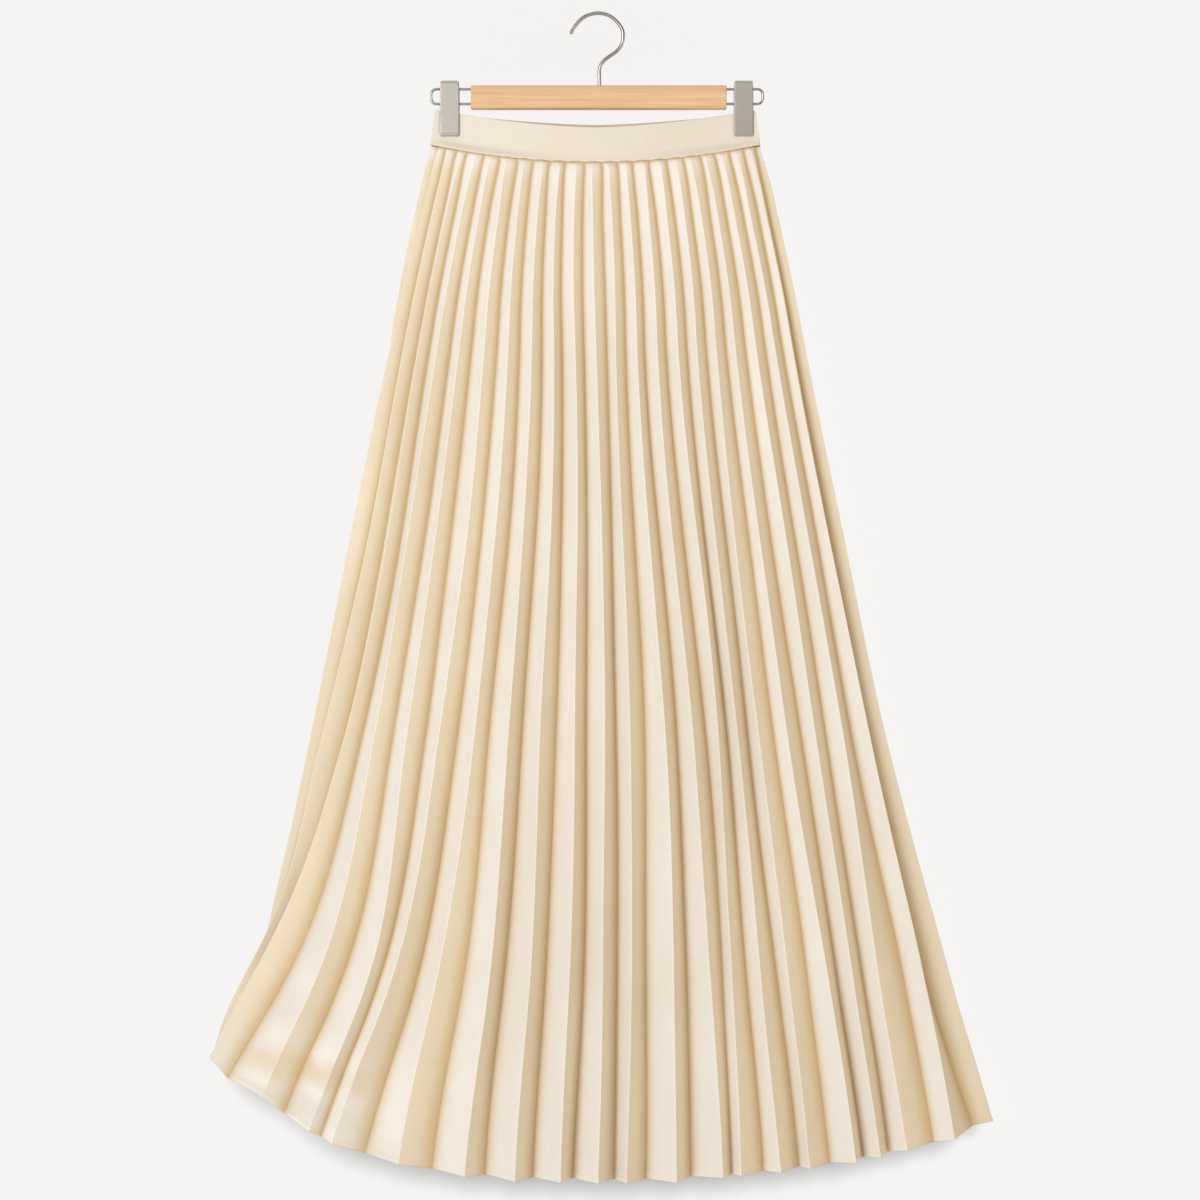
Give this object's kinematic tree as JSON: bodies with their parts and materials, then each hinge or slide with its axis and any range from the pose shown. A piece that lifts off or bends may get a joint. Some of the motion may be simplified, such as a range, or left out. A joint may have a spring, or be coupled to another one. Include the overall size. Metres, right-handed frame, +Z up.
{
  "type": "pleated maxi skirt and clip hanger",
  "caption": "Long cream skirt with sunray pleats and a plain waistband, held flat by its waist on a wooden hanger with steel hook, wire loops and clips.",
  "frame": {"origin": "top of the inner side of the hook, where the rod carries the hanger", "axes": "+Z up, from the hem to the hook; +X to the right seen from the front; -Y towards the front"},
  "size_m": [0.7728, 0.2116, 1.1536],
  "materials": {
    "cream_satin": "soft satin",
    "cream_band": "soft satin",
    "beech": "satin lacquer",
    "brushed_steel": "brushed"
  },
  "bodies": {
    "root": {"skirt_front": "cream_satin", "skirt_back": "cream_satin", "waistband_front": "cream_band", "waistband_back": "cream_band", "hanger_bar": "beech", "hanger_hook": "brushed_steel", "loop_left": "brushed_steel", "loop_right": "brushed_steel", "clip_left_front": "brushed_steel", "clip_left_back": "brushed_steel", "clip_left_barrel": "brushed_steel", "clip_right_front": "brushed_steel", "clip_right_back": "brushed_steel", "clip_right_barrel": "brushed_steel"}
  },
  "joints": []
}
